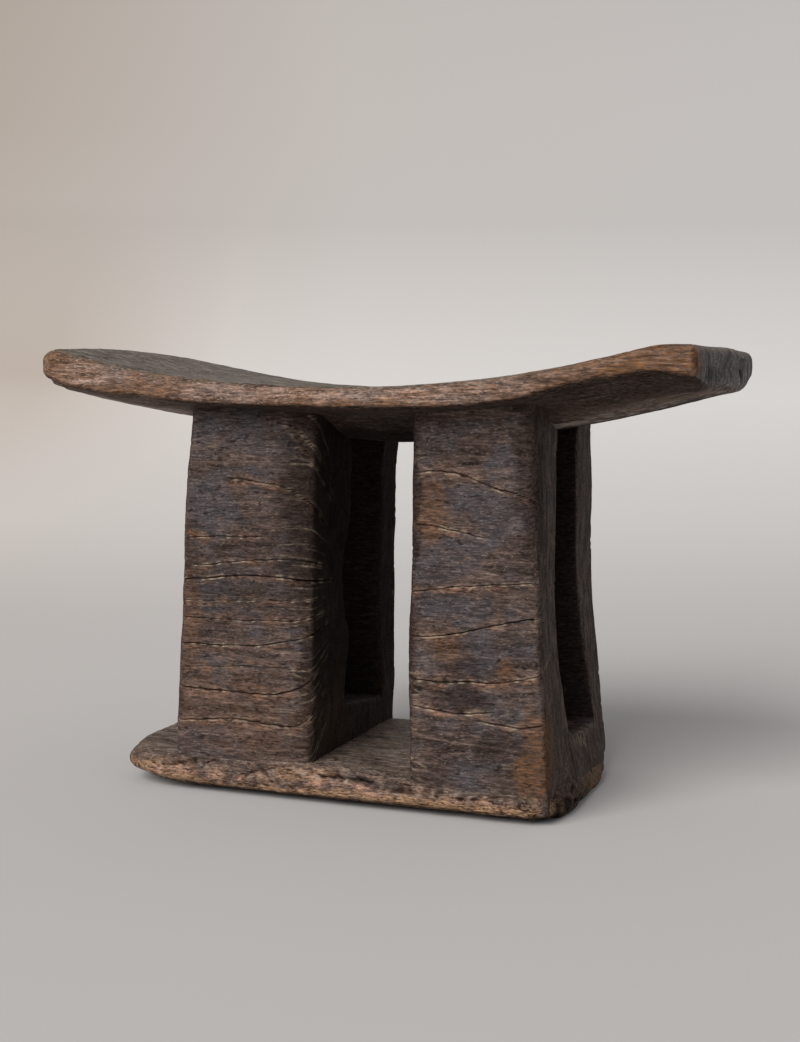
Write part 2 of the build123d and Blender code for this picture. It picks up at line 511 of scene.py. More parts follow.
def woodFinish(name, tone):
    material, tree, where = startFinish(name)
    endGrain = readMark(tree, "endGrain")

    streak = grainNoise(tree, where, (26.0, 230.0, 230.0), 5.0, 0.62, 0.6)
    thread = grainNoise(tree, where, (105.0, 820.0, 820.0), 3.0, 0.55, 0.9)
    blotch = grainNoise(tree, where, (26.0, 38.0, 38.0), 4.0, 0.62, 0.5)
    cloud = grainNoise(tree, where, (58.0, 88.0, 88.0), 5.0, 0.64, 0.6)
    fleck = grainNoise(tree, where, (300.0, 950.0, 950.0), 2.0, 0.6, 0.4)
    fineSpeckle = grainNoise(tree, where, (420.0, 980.0, 980.0), 2.0, 0.55)
    endStreak = grainNoise(tree, where, (160.0, 120.0, 34.0), 6.0, 0.66, 1.6)

    # body colour: streaks along the grain, clouds of tan, and large bluish blotches of smoke with painted
    # sheen
    body = ramp(tree, streak, [(0.36, tone["dark"]), (0.52, tone["mid"]), (0.66, tone["light"])])
    endBody = ramp(tree, endStreak, [(0.43, tone["endDark"]), (0.60, tone["endLight"])])
    smokeAndSheenAmount = ramp(tree, blotch, [(0.47, 0.0), (0.58, tone["smokeAndSheenShare"])])
    colour = blend(tree, smokeAndSheenAmount, body, tone["smokeAndSheen"])
    tanShare = ramp(tree, cloud, [(0.52, 0.0), (0.64, tone["tanShare"])])
    colour = blend(tree, tanShare, colour, tone["tan"])
    colour = blend(tree, endGrain, colour, endBody)
    if "topMid" in tone:
        topShare = times(tree, readMark(tree, "topSide"), 0.95, True)
        stops = [(0.41, tone["topDark"]), (0.51, tone["topMid"]), (0.62, tone["topLight"])]
        colour = blend(tree, topShare, colour, ramp(tree, streak, stops))

    # patches that come as marks: ochre, rubbed edges, and the warm bands beside cracks
    broken = ramp(tree, fleck, [(0.36, 0.15), (0.56, 1.0)])
    for mark, share in (("rust", 1.0), ("worn", tone["wornShare"]), ("warm", 1.0)):
        amount = times(tree, times(tree, readMark(tree, mark), broken), share, True)
        colour = blend(tree, amount, colour, tone[mark])
    # soot, and the painted shade that each piece puts into the same mark
    sootAndShadeAmount = times(tree, readMark(tree, "soot"), ramp(tree, fleck, [(0.30, 1.0), (0.72, 0.80)]), True)
    colour = blend(tree, sootAndShadeAmount, colour, tone["soot"])
    rusty = times(tree, readMark(tree, "rust"), 0.8, True)
    outsideSootShadeRust = sums(tree, "SUBTRACT", 1.0, sums(tree, "MAXIMUM", sootAndShadeAmount, rusty), True)

    # relief: painted highlight on ridges and painted shade in hollows, at two sizes, with painted glints as
    # pale specks on top
    reliefLightAndShade = ramp(tree, readMark(tree, "relief"), list(zip((0.12, 0.48, 0.86), tone["reliefLightAndShade"])))
    colour = blend(tree, 1.0, colour, times(tree, reliefLightAndShade, 2.0), "MULTIPLY")
    threadLightAndShade = ramp(tree, thread, list(zip((0.34, 0.50, 0.66), tone["threadLightAndShade"])))
    colour = blend(tree, 1.0, colour, times(tree, threadLightAndShade, 2.0), "MULTIPLY")
    # pale specks: painted glints
    glints = times(tree, ramp(tree, fineSpeckle, [(0.56, 0.0), (0.70, tone["glintShare"])]), outsideSootShadeRust)
    colour = blend(tree, glints, colour, tone["glint"])
    # pale lines: lips of checks and scratches, and painted light on the seat's underside
    lip = times(tree, readMark(tree, "lip"), ramp(tree, fineSpeckle, [(0.30, 0.4), (0.60, 1.0)]), True)
    colour = blend(tree, lip, colour, tone["lip"])
    pores = ramp(tree, fleck, [(0.36, tone["poreDark"]), (0.50, 1.0)])
    # the crack mark also holds painted deep shade
    crackAndShadeDark = ramp(tree, readMark(tree, "crack"), [(0.08, 1.0), (0.80, (0.16, 0.11, 0.09))])
    for shade in (pores, crackAndShadeDark):
        colour = blend(tree, 1.0, colour, shade, "MULTIPLY")

    rough = ramp(tree, cloud, [(0.30, tone["rough"][1]), (0.70, tone["rough"][0])])
    rough = sums(tree, "ADD", rough, times(tree, sootAndShadeAmount, 0.4), True)
    height = sums(tree, "ADD", times(tree, thread, 0.8), times(tree, fleck, 0.9))
    height = sums(tree, "ADD", height, times(tree, fineSpeckle, 0.3))
    bump = addNode(tree, "ShaderNodeBump", {"Height": height, "Strength": 0.9, "Distance": 0.0006})
    endFinish(tree, {"Base Color": colour, "Roughness": rough, "Normal": bump.outputs[0],
                     "Specular IOR Level": tone["gloss"]})
    return material


# Colours and shares of each finish. Rough is its range from rubbed to dull. The soot colour also paints
# shade, the smoke colour also paints sheen, the speck colour paints glints, and hills and threads paint
# highlight and shade over the relief.
legTone = {
    "dark": (0.033, 0.021, 0.017), "mid": (0.077, 0.052, 0.044), "light": (0.146, 0.098, 0.082),
    "endDark": (0.042, 0.028, 0.022), "endLight": (0.135, 0.094, 0.078),
    "smokeAndSheen": (0.068, 0.061, 0.066), "smokeAndSheenShare": 0.75, "tan": (0.122, 0.078, 0.060), "tanShare": 0.42,
    "soot": (0.0200, 0.0130, 0.0105), "rust": (0.140, 0.064, 0.027), "worn": (0.12, 0.072, 0.050),
    "wornShare": 0.1, "warm": (0.190, 0.104, 0.068), "lip": (0.44, 0.34, 0.25),
    "reliefLightAndShade": (0.34, 0.46, 0.66), "threadLightAndShade": (0.30, 0.45, 0.70),
    "glint": (0.34, 0.28, 0.26), "glintShare": 0.28, "poreDark": 0.68,
    "rough": (0.45, 0.65), "gloss": 0.07,
}
seatTone = {
    "dark": (0.100, 0.052, 0.032), "mid": (0.235, 0.142, 0.100), "light": (0.400, 0.275, 0.222),
    "endDark": (0.003, 0.003, 0.003), "endLight": (0.088, 0.083, 0.079),
    "smokeAndSheen": (0.235, 0.170, 0.150), "smokeAndSheenShare": 0.6, "tan": (0.330, 0.190, 0.120), "tanShare": 0.5,
    "topDark": (0.030, 0.026, 0.021), "topMid": (0.115, 0.102, 0.083), "topLight": (0.185, 0.167, 0.140),
    "soot": (0.0195, 0.0152, 0.0138), "rust": (0.140, 0.064, 0.026), "worn": (0.150, 0.070, 0.033),
    "wornShare": 0.95, "warm": (0.22, 0.12, 0.07), "lip": (0.42, 0.35, 0.30),
    "reliefLightAndShade": (0.32, 0.47, 0.70), "threadLightAndShade": (0.24, 0.45, 0.80),
    "glint": (0.62, 0.50, 0.45), "glintShare": 0.38, "poreDark": 0.50,
    "rough": (0.40, 0.60), "gloss": 0.12,
}
baseTone = {
    "dark": (0.042, 0.025, 0.018), "mid": (0.070, 0.042, 0.030), "light": (0.125, 0.078, 0.059),
    "endDark": (0.024, 0.014, 0.009), "endLight": (0.100, 0.058, 0.036),
    "smokeAndSheen": (0.105, 0.078, 0.074), "smokeAndSheenShare": 0.6, "tan": (0.210, 0.122, 0.080), "tanShare": 0.6,
    "topDark": (0.070, 0.050, 0.040), "topMid": (0.140, 0.104, 0.084), "topLight": (0.200, 0.155, 0.128),
    "soot": (0.016, 0.010, 0.008), "rust": (0.390, 0.230, 0.130), "worn": (0.200, 0.122, 0.076),
    "wornShare": 0.4, "warm": (0.34, 0.19, 0.13), "lip": (0.50, 0.38, 0.31),
    "reliefLightAndShade": (0.34, 0.47, 0.66), "threadLightAndShade": (0.29, 0.46, 0.74),
    "glint": (0.44, 0.34, 0.30), "glintShare": 0.4, "poreDark": 0.55,
    "rough": (0.50, 0.70), "gloss": 0.08,
}
legWood = woodFinish("legWood", legTone)
seatWood = woodFinish("seatWood", seatTone)
baseWood = woodFinish("baseWood", baseTone)
print("finishes made")


seat = {
    "left": -232.4, "right": 232.4,
    "front": -96.3, "back": 96.2,
    # the top edge of the front rim, and of the back rim
    "frontTop": [(-232, 302.6), (-214, 301.4), (-206, 299.8), (-196, 297.8), (-184, 295), (-169, 291.9),
        (-153, 288.6), (-138, 286.2), (-119, 283.7), (-85, 280.4), (-50, 278.2), (-9, 276.8), (26, 277),
        (55, 278.4), (73, 279.8), (91, 281.5), (108, 283.6), (126, 286.1), (143, 288.9), (160, 292),
        (177, 295.2), (193, 298.3), (205, 300.6), (214, 301.3), (232, 300.8)],
    "backTop": [(-232, 302), (-208, 299.8), (-183, 295), (-158, 290.3), (-133, 286.1), (-109, 282.6),
        (-85, 279.4), (-45, 277.2), (0, 276.6), (60, 278.2), (110, 282.8), (150, 288.8), (190, 295.8),
        (215, 300.4), (232, 301.2)],
    # the lower edge of the front rim
    "rimLow": [(-232, 283), (-217, 281), (-204, 277.4), (-190, 275), (-170, 272.2), (-144, 270.4),
        (-123, 267.4), (-103, 265.4), (-56, 264.3), (-14, 263.3), (27, 263), (54, 263.2), (80, 264.3),
        (106, 267), (122, 270), (138, 275.4), (151, 279.2), (167, 281.9), (184, 283.6), (197, 285.2),
        (210, 285.8), (223, 283), (232, 281.5)],
    # the belly's height in the middle, and over its reach the climb and its power, to the left and the right
    "bellyMiddle": 240.2, "bellyCentre": 5.0, "bellyReach": 225.0,
    "bellyLeft": (28.4, 1.34), "bellyRight": (34.2, 1.912),
    "crown": [(-232, 3.4), (-212, 3.2), (-190, 2.2), (-160, 0.8), (-120, -0.4), (0, -0.6), (120, -0.4),
        (190, 0.4), (232, 0.5)],
    "kneeIn": 32.0, "bellyIn": 73.0,
    # how far under the top the knee of the underside lies: less over the columns
    "kneeDrop": [(-232, 28), (-160, 26), (-125, 21), (-108, 19), (110, 18.5), (124, 21), (142, 26),
        (165, 28), (232, 28)],
    # rounding at the left end and at the right end: in plan, and along the upper and the lower edge
    "frontRadius": (24.0, 4.0), "backRadius": (24.0, 10.0), "topRound": (8.5, 6.0), "lowRound": (7.0, 5.0),
    "endSlant": 9.0,                # the right end runs back this much more at its front corner
    "endZones": (28.0, 18.0), "stations": (28, 278),        # they crowd together over a zone at either end
}


def seatBelly(x):
    # Height of the lowest flat of the underside
    gap = (x - seat["bellyCentre"]) / seat["bellyReach"]
    left, right = (rise * np.abs(gap) ** power for rise, power in (seat["bellyLeft"], seat["bellyRight"]))
    return seat["bellyMiddle"] + np.where(gap < 0, left, right)


def seatUnder(x, y):
    # Height of the underside: rim, first flat, second flat, belly
    inward = np.where(y < 0, y - seat["front"], seat["back"] - y)
    top = along(seat["frontTop"], x, 5.0)
    rim, belly = along(seat["rimLow"], x, 6.0), seatBelly(x)
    knee = top - along(seat["kneeDrop"], x, 6.0)
    first = np.clip(inward / seat["kneeIn"], 0, 1)
    second = np.clip((inward - seat["kneeIn"]) / (seat["bellyIn"] - seat["kneeIn"]), 0, 1)
    return np.maximum(rim + (knee - rim) * first + (belly - knee) * second, belly)


def cornerInset(x, end, radius):
    # How far a rounded plan corner pulls an edge in, at x near the end
    into = np.clip(radius - np.abs(end - x), 0.0, radius)
    return radius - np.sqrt(np.maximum(radius ** 2 - into ** 2, 0.0))


def crowd(left, right, zones, fine, coarse):
    # Stations from left to right, closer together over a zone at either end
    near = 1 - np.cos(np.linspace(0.0, math.pi / 2, fine))
    start, finish = left + zones[0] * near, right - zones[1] * near
    return np.concatenate([start, np.linspace(start[-1], finish[-1], coarse)[1:-1], finish[::-1]])


def withX(x, loop):
    # Adds the stations' X in front of each loop's Y and Z
    return np.concatenate([np.broadcast_to(x[:, None, None], loop.shape[:2] + (1,)), loop], -1)


def makeSeat():
    left, right = seat["left"], seat["right"]
    x = crowd(left, right, seat["endZones"], *seat["stations"])
    frontInset, backInset, over, under = (
        cornerInset(x, left, seat[key][0]) + cornerInset(x, right, seat[key][1])
        for key in ("frontRadius", "backRadius", "topRound", "lowRound"))
    front, back = seat["front"] + frontInset, seat["back"] - backInset
    frontTop, backTop = along(seat["frontTop"], x, 5.0) - over, along(seat["backTop"], x, 8.0) - over
    crown = along(seat["crown"], x, 12.0)
    belly = seatBelly(x) + under
    rimLow = along(seat["rimLow"], x, 6.0)
    rim = np.maximum(rimLow, belly + 1.0) + 0.8 * cornerInset(x, left, seat["lowRound"][0])
    rim = np.minimum(rim, frontTop - 3.0)
    drop = along(seat["kneeDrop"], x, 6.0)
    knee, backKnee = (np.maximum(top + over - drop, belly + 0.2) for top in (frontTop, backTop))
    backRim = np.minimum(np.maximum(backTop + over - 15.5, belly + 1.0), backTop - 3.0)
    corners = [
        (front, frontTop), (front + 0.6, rim), (front + seat["kneeIn"], knee + 0.3),
        (front + seat["bellyIn"], belly - 0.3), (back - seat["bellyIn"], belly - 0.3),
        (back - seat["kneeIn"], backKnee + 0.3), (back - 1.0, backRim), (back, backTop),
        (back - 50.0, 0.3 * frontTop + 0.7 * backTop + crown),
        (front + 46.0, 0.7 * frontTop + 0.3 * backTop + crown),
    ]
    cuts = [6.4, 4.2, 2.5, 6.0, 10.0, 6.0, 5.5, 7.0, 20.0, 20.0]
    arcs = [11, 8, 4, 4, 4, 4, 6, 8, 3, 3]
    counts = [10, 28, 26, 12, 18, 14, 8, 34, 44, 34]
    loop, kinds, spots = roundedLoop(corners, cuts, arcs, counts)
    edge = cornerNearness(loop, kinds, spots, [3.4, 4.4, 0.0, 0.0, 0.0, 0.0, 3.0, 5.0, 0.0, 0.0])
    grid = withX(x, loop)
    # the ends turn over like a nose round the corners of the plan; the right end's front corner stays sharp
    for k, (side, end, foot, sharp) in enumerate(((1, left, rimLow, 0.0), (-1, right, belly - under, 20.0))):
        radius, high, low = seat["backRadius"][k], seat["topRound"][k], seat["lowRound"][k]
        inX = side * (grid[..., 0] - end)
        inFront, inBack = grid[..., 1] - seat["front"], seat["back"] - grid[..., 1]
        cornerX = np.maximum(radius - inX, 0.0)
        cornerY = np.maximum(radius - np.minimum(inFront + sharp, inBack), 0.0)
        reach = np.maximum(np.hypot(cornerX, cornerY), 1e-6)
        topAt = (np.maximum(frontTop, backTop) + over)[:, None]
        fromTop = np.clip(high - (topAt - grid[..., 2]), 0.0, high)
        fromFoot = np.clip(low - (grid[..., 2] - foot[:, None]), 0.0, low)
        wanted = high - np.sqrt(high ** 2 - fromTop ** 2) + low - np.sqrt(low ** 2 - fromFoot ** 2)
        push = np.clip(wanted - (radius - reach), 0.0, None) * (inX < radius) * smooth(0.0, 3.0, cornerY)
        grid[..., 0] += side * push * cornerX / reach
        grid[..., 1] += np.where(inFront < inBack, 1.0, -1.0) * push * cornerY / reach
    # the right end is cut at a slant that dies away towards the back
    forward = smooth(10.0, -97.0, grid[..., 1])
    grid[..., 0] -= seat["endSlant"] * forward * smooth(150.0, 232.0, grid[..., 0])
    return grid, edge


def seatPaintedShade(points, normals):
    # painted shade under the board, lifted where the belly's edges catch light, and lifted more at the left
    # end
    under = smooth(0.25, 0.75, -normals[:, 2])
    litBand = smooth(28.0, 4.0, np.abs(np.abs(points[:, 1]) - 40.0))
    litBand *= smooth(110.0, 160.0, np.abs(points[:, 0]))
    left = smooth(-100.0, -150.0, points[:, 0])
    return under * (0.92 - 0.45 * litBand - 0.35 * left)


seatLook = {
    "seed": 100, "wave": 0.5, "cuts": 0.25, "ripple": 0.22, "pits": 0.25, "nicks": 0.45, "wear": 0.6,
    "grain": (13.0, 1.9, 1.9), "plainEnds": True, "tear": 2.2, "tearSize": (7.0, 5.5, 20.0),
    "checks": fineChecks(26, 401, (-215, 215), (0.75, 1.05), (20, 60), (0.12, 0.3), 0.15, back=30.0)
              + fineChecks(50, 402, (-220, 200), (1.1, 2.4), (25, 90), (0.15, 0.4), 0.0, back=400.0),
    "patches": {
        "soot": [((228, 33, 288), (8, 4, 22), 0.9), ((228, 62, 288), (8, 3, 20), 0.7),
                 ((228, -60, 284), (8, 10, 8), 0.5), ((228, 88, 290), (8, 6, 20), 0.5),
                 ((150, -96, 282), (50, 6, 4), 0.4)],
        # painted deep shade under the board between the columns
        "smoked": [((5, -10, 242), (44, 86, 14), 0.55)],
        # pale broken lines: painted light where the underside's two wings catch light, and a band at the foot
        # of the right end
        "scratched": [((165, -26, 258), (90, 17, 18), 1.0), ((-175, -30, 264), (62, 34, 20), 0.7),
                      ((224, 20, 276), (16, 80, 7), 1.0)],
        "rust": [((206, -97, 292), (50, 14, 18), 1.0), ((145, -97, 286), (44, 14, 9), 0.75),
                 ((-222, -88, 291), (22, 30, 14), 0.7), ((-150, -97, 273), (60, 10, 6), 0.7),
                 ((0, -97, 265), (90, 10, 4), 0.6), ((120, -97, 275), (60, 10, 6), 0.5),
                 ((-120, -92, 284), (90, 6, 4), 0.5)],
    },
    "shade": seatPaintedShade,
    # the split across the right end, and finer ones beside it
    "bores": [((231, 30, 290), (7, 2.2, 21), 2.8), ((230, 36, 286), (6, 1.5, 14), 1.8),
              ((229, 62, 288), (5, 1.1, 12), 0.9), ((228, -45, 284), (5, 1.2, 8), 0.9),
              ((228, -72, 286), (5, 1.0, 8), 0.7), ((229, -8, 287), (5, 1.0, 10), 0.7)],
}
buildPiece("seatBoard", "seat", "seat_wood", *makeSeat(), seatLook, seatWood, ends=(9, 0.05))


wallTop, wallStations = 256.0, 488      # nominal head of the columns; each point then runs on to the seat
sunk = 4.5                              # and goes this far into it
leftColumn = {
    "side": -1, "foot": 13.0,       # which way its outer side faces, and where it starts inside the slab
    "outer": [(15, -135.5), (40, -134.7), (57, -135.1), (67, -134.8), (87, -131.7), (108, -130),
        (129, -128.7), (139, -128.4), (149, -129.2), (164, -129.7), (180, -127.9), (200, -126.7),
        (210, -125.3), (220, -122.3), (232, -121.5), (240, -121.9), (258, -122.4)],
    "inner": [(15, -30.2), (60, -29.6), (100, -29.6), (140, -30.2), (180, -30.4), (215, -29),
        (258, -27.4)],
    # how much further right a side stands at its back corner
    "innerBack": [(15, 1), (38, 1), (60, 3.2), (82, 2.6), (93, 1.8), (115, 3), (138, 2.9), (149, 3.8),
        (171, 5.7), (193, 4.8), (215, 3.6), (237, 5.4), (258, 5.4)],
    "front": [(15, -75.4), (90, -74.6), (180, -73.6), (258, -72.4)],
    "back": [(15, 75.4), (90, 74.6), (180, 73.4), (258, 72.4)],
    # where the slot's edges run on the inner face, and on the outer face
    "slotFrontIn": [(15, -22), (61, -22.5), (80, -19), (100, -13.2), (113, -14), (122, -19), (136, -21.4),
        (157, -22.6), (170, -20.5), (179, -16), (198, -10.6), (219, -11.4), (240, -12.5), (262, -18)],
    "slotFrontOut": [(15, -20), (90, -18), (150, -16), (200, -21), (262, -19)],
    "slotBackIn": [(15, 48), (59, 47), (90, 43.5), (120, 41.5), (150, 40.6), (195, 41), (262, 39)],
    "slotBackOut": [(15, 40), (120, 36), (262, 39)],
    # the top of the sill, across the slot from the front wall to the back wall
    "sill": [(0, 62), (0.054, 57.8), (0.157, 54.2), (0.29, 53.4), (0.43, 52), (0.70, 48.8), (0.93, 47),
        (1, 50)],
    "sillFront": 60.0, "sillBack": 49.0,
    # how far the front wall's corners are cut back, along X and along Y
    "leftCut": [(15, 8), (258, 9)],
    "rightCutX": [(15, 7), (70, 8), (110, 10), (160, 15), (200, 20), (256, 20)],
    "rightCutY": [(15, 6), (70, 6), (110, 6), (160, 7), (200, 8), (256, 9)],
    "rearCut": 5.0,
}
rightColumn = {
    "side": 1, "foot": 7.0,
    "outer": [(8, 132.5), (27, 131.6), (60, 129.6), (110, 126.4), (160, 124), (210, 121.8), (258, 119.6)],
    "inner": [(8, 39.3), (30, 38.8), (70, 38.1), (80, 37.4), (93, 36.6), (108, 36.9), (127, 37.7),
        (146, 38.8), (165, 39.6), (175, 38.8), (190, 38.2), (204, 38.7), (233, 39.7), (258, 40.4)],
    "outerBack": [(8, 1.5), (20, 3.6), (30, 3.1), (41, 2.5), (52, 1.9), (63, 1.3), (85, 0.8), (117, -0.5),
        (150, -0.3), (172, 0.4), (183, 2), (216, 1.9), (238, 2.3), (258, 5.4)],
    "front": [(8, -76.6), (27, -75.6), (90, -74.6), (180, -73.4), (258, -72.4)],
    "back": [(8, 77.4), (60, 76.4), (120, 73.8), (180, 72.6), (258, 72)],
    "slotFrontIn": [(8, -18), (120, -20), (262, -17)],
    "slotFrontOut": [(8, -18), (50, -18), (56, -19), (72, -24.5), (93, -29), (113, -31.5), (139, -32.5),
        (165, -30.5), (190, -26), (216, -21.4), (236, -18.5), (262, -17)],
    "slotBackIn": [(8, 40), (120, 36), (262, 37)],
    "slotBackOut": [(8, 48), (50, 48), (55, 49), (78, 43.5), (101, 36.5), (130, 31), (158, 27),
        (186, 27.6), (213, 30), (247, 34), (262, 35)],
    "sill": [(0, 56), (0.02, 53.5), (0.085, 49), (0.21, 45), (0.385, 43), (0.65, 40.7), (0.85, 39.5),
        (0.925, 41.5), (0.985, 46), (1, 50)],
    "sillFront": 54.0, "sillBack": 50.0,
    "leftCut": [(8, 6), (258, 7)],
    "rightCutX": [(8, 4), (110, 4), (160, 8), (206, 14), (250, 14)],
    "rightCutY": [(8, 4), (110, 4), (160, 6), (206, 8), (250, 8)],
    "rearCut": 4.0,
    # the outer side spreads out over the end of the base
    "flare": [(7, 5.2), (15, 4.8), (22, 3.4), (30, 1.6), (40, 0.5), (50, 0)],
}


def sideX(column, which, y, z):
    # X of one side of a column, between its front corner and its back corner
    x = along(column[which], z, 5.0)
    if which + "Back" in column:
        x = x + along(column[which + "Back"], z, 5.0) * ((y + columnFace) / (2.0 * columnFace))
    if which == "outer" and "flare" in column:
        x = x + along(column["flare"], z, 2.0) * (1.0 - smooth(36.0, 74.0, np.abs(y - 2.0)))
    return x


def leftAndRight(column):
    # Which side of a column is its left and its right one, and how the slot's tables call them
    sides = [("outer", "Out"), ("inner", "In")]
    return zip(*(sides if column["side"] < 0 else sides[::-1]))


def makeWall(column, rear):
    # One wall of a column: a tapering block between the slot and the front, or the slot and the back
    (left, right), slotEnds = leftAndRight(column)
    low, side = column["foot"], column["side"]
    t = np.linspace(0.0, 1.0, wallStations)
    z = low + (wallTop - low) * t
    wander = 1.0 + 0.25 * np.sin(z / 17.0 + 2.0 * side) + 0.18 * np.sin(z / 7.3 + side)
    # flush is 0 beside the sill, where the slot's edges close up, and 1 above it
    if rear:
        nearLeft, nearRight = (along(column["slotBack" + end], z, 4.0) for end in slotEnds)
        far = along(column["back"], z, 9.0)
        ys = [nearLeft, nearRight, far, far]
        flush = smooth(column["sillBack"] - 3.0, column["sillBack"] + 9.0, z)
        slotCut = 0.2 + 3.6 * flush * wander
        cuts = [slotCut, slotCut, column["rearCut"] * wander, 9.0 * wander]
        arcs, counts, reach = [5, 6, 9, 9], [26, 36, 66, 34], [4.0, 4.5, 9.0, 9.0]
    else:
        farLeft, farRight = (along(column["slotFront" + end], z, 3.0) for end in slotEnds)
        near = along(column["front"], z, 9.0)
        ys = [near, near, farRight, farLeft]
        flush = smooth(column["sillFront"] - 3.0, column["sillFront"] + 9.0, z)
        slotCut = 0.2 + 2.4 * flush * wander
        corner = tuple(along(column[key], z, 12.0) * wander for key in ("rightCutX", "rightCutY"))
        cuts = [along(column["leftCut"], z) * wander, corner, slotCut, slotCut]
        arcs, counts, reach = [10, 12, 6, 5], [80, 38, 22, 30], [7.0, 6.0, 4.0, 4.0]
    corners = [(sideX(column, which, y, z), y) for which, y in zip((left, right, right, left), ys)]
    loop, kinds, spots = roundedLoop(corners, cuts, arcs, counts)
    edge = cornerNearness(loop, kinds, spots, reach)
    head = seatUnder(loop[-1, :, 0], loop[-1, :, 1]) + sunk
    height = low + (head[None, :] - low) * t[:, None]
    return np.concatenate([loop, height[:, :, None]], -1), edge


def makeSill(column):
    # The foot of a slot, from inside the front wall to inside the back wall, with a hollow top
    (left, right), slotEnds = leftAndRight(column)
    front = [along(column["slotFront" + end], 45.0) - 2.5 for end in slotEnds]
    back = [along(column["slotBack" + end], 42.0) + 2.5 for end in slotEnds]
    across = 0.5 - 0.5 * np.cos(np.linspace(0.0, math.pi, 120))
    top = along(column["sill"], across, 0.02)
    wide = 100.0                                            # stands for the distance between the two sides
    flat = 0.0 * top + column["foot"]
    corners = [(wide, flat), (0.0, flat), (0.0, top), (wide, top)]
    loop, kinds, spots = roundedLoop(corners, [0.2, 0.2, 3.0, 3.0], [2, 2, 6, 6], [8, 40, 64, 40])
    edge = cornerNearness(loop, kinds, spots, [0.0, 0.0, 4.0, 4.0])
    share, z = loop[..., 0] / wide, loop[..., 1]
    nearY, farY = (ends[0] + (ends[1] - ends[0]) * share for ends in (front, back))
    y = nearY + (farY - nearY) * across[:, None]
    leftX, rightX = sideX(column, left, y, z), sideX(column, right, y, z)
    return np.stack([leftX + (rightX - leftX) * share, y, z], -1), edge


leftChecks = [
    checkLine([(-50, 254), (-42, 251), (-35, 245), (-28, 236)], 1.1, 0.4, 0.5, 0.2, back=40),
    checkLine([(-46, 249), (-36, 238), (-28, 226)], 0.7, 0.35, 0.5, back=36),
    checkLine([(-90, 216), (-57, 212), (-39, 206), (-28, 197.5)], 1.3, 0.55, 0.45, 0.25, back=34),
    checkLine([(-125, 174), (-110, 176), (-83, 176), (-67, 177)], 0.8, 0.5, 0.7, 0.1),
    checkLine([(-117, 156), (-76, 161), (-39, 162.6), (-22, 160)], 0.9, 0.5, 0.8, 0.1),
    checkLine([(-125, 146), (-78, 151), (-50, 150), (-22, 148)], 1.9, 0.75, 0.9, 0.45, back=40),
    checkLine([(-124, 131.6), (-76, 134), (-32, 135.4)], 0.6, 0.4, 0.6),
    checkLine([(-125, 119.7), (-79, 120.5), (-41, 121.6), (-25.5, 125)], 1.3, 0.45, 0.6, 0.15, back=34),
    checkLine([(-126, 102), (-79, 103), (-50.5, 107), (-26, 113)], 1.6, 0.55, 0.7, 0.3, back=34),
    checkLine([(-126, 86), (-77, 89.5), (-40, 90)], 0.5, 0.45, 0.35),
    checkLine([(-129, 72), (-89, 71.4), (-60, 71.5), (-45, 74.6), (-26, 84.7)], 2.0, 0.6, 0.7, 0.35, back=34),
    checkLine([(-129, 50), (-79.5, 53.4), (-56, 52), (-41, 51), (-30, 60)], 0.9, 0.5, 0.6, 0.1),
]
rightChecks = [
    checkLine([(46, 222.5), (67, 223), (79, 220.6), (90.5, 215), (106, 210), (120.5, 207)],
              1.4, 0.55, 0.7, 0.3),
    checkLine([(44, 189), (58, 187.6), (71, 185.5), (87, 182)], 1.1, 0.5, 0.9, 0.25),
    checkLine([(40, 145.6), (56, 147), (71.5, 150), (91, 152), (121, 154)], 1.4, 0.5, 0.8, 0.2),
    checkLine([(42, 117), (62, 118), (77, 121), (97, 127), (121, 132)], 1.9, 0.6, 0.8, 0.4),
    checkLine([(44, 90), (62, 88), (81, 90.5), (97, 90), (114, 93), (129, 97.5)], 1.5, 0.55, 0.7, 0.25),
    checkLine([(42, 72.5), (62, 70), (78, 69.5), (91, 71.5)], 1.0, 0.55, 1.0, 0.25),
    checkLine([(85, 66.5), (101, 64), (116, 63), (127, 66)], 1.5, 0.5, 0.6, 0.25),
]
frontAngles = (-0.93, 0.90)
leftFine = fineChecks(44, 11, (-133, -29), frontAngles, (8, 30), (0.10, 0.35), 0.35)
leftFine += fineChecks(40, 12, (-44, -27), frontAngles, (8, 26), (0.02, 0.09), 0.85, back=22.0)
rightFine = fineChecks(40, 21, (41, 129), frontAngles, (8, 30), (0.10, 0.35), 0.35)
rightFine += fineChecks(20, 22, (37, 46), (-0.86, -0.40), (8, 16), (0.02, 0.09), 1.1, back=26.0)
backFine = fineChecks(70, 31, (-133, 129), (2.2, 4.1), (14, 60), (0.2, 0.8), 0.4, face=columnFace)


def columnPaintedShade(towardsRight, towardsLeft, lighterFoot):
    # painted shade inside the slot, and over the two sides, thinning out towards the foot
    def shade(points, normals):
        slot = smooth(0.2, 0.7, normals[:, 1] ** 2) * (np.abs(points[:, 1] - 8.0) < 45.0)
        across = towardsRight * smooth(0.3, 0.8, normals[:, 0])
        across += towardsLeft * smooth(0.3, 0.8, -normals[:, 0])
        across *= 1.0 - lighterFoot * smooth(95.0, 45.0, points[:, 2])
        return np.maximum(slot, across)
    return shade


